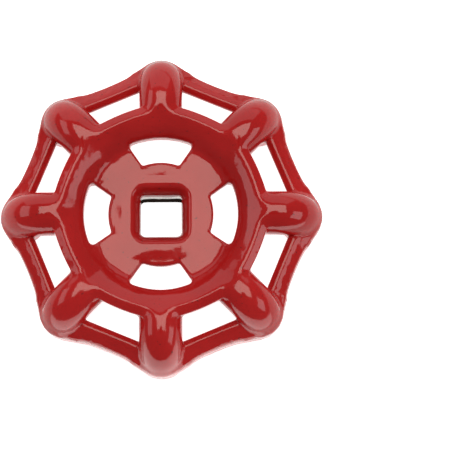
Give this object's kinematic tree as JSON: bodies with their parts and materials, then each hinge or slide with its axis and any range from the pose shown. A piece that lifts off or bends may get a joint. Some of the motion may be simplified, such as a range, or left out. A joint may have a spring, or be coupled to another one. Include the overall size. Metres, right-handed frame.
{
  "type": "valve handwheel",
  "caption": "Round cast valve handwheel with a scalloped rim, half-round spokes, a sunk bowl with curved windows and a square through socket, red enamelled.",
  "frame": {"origin": "centre of the square socket on the hub's bottom face", "axes": "+Z along the stem axis, up out of the bowl; +X along a spoke and square to a socket flat"},
  "size_m": [0.065, 0.065, 0.0165],
  "materials": {
    "bare_metal": "bare die-cast metal, satin, broached in the socket",
    "red_enamel": "gloss red baked enamel"
  },
  "bodies": {
    "root": {"wheel_casting": "bare_metal", "enamel_coat": "red_enamel"}
  },
  "joints": []
}
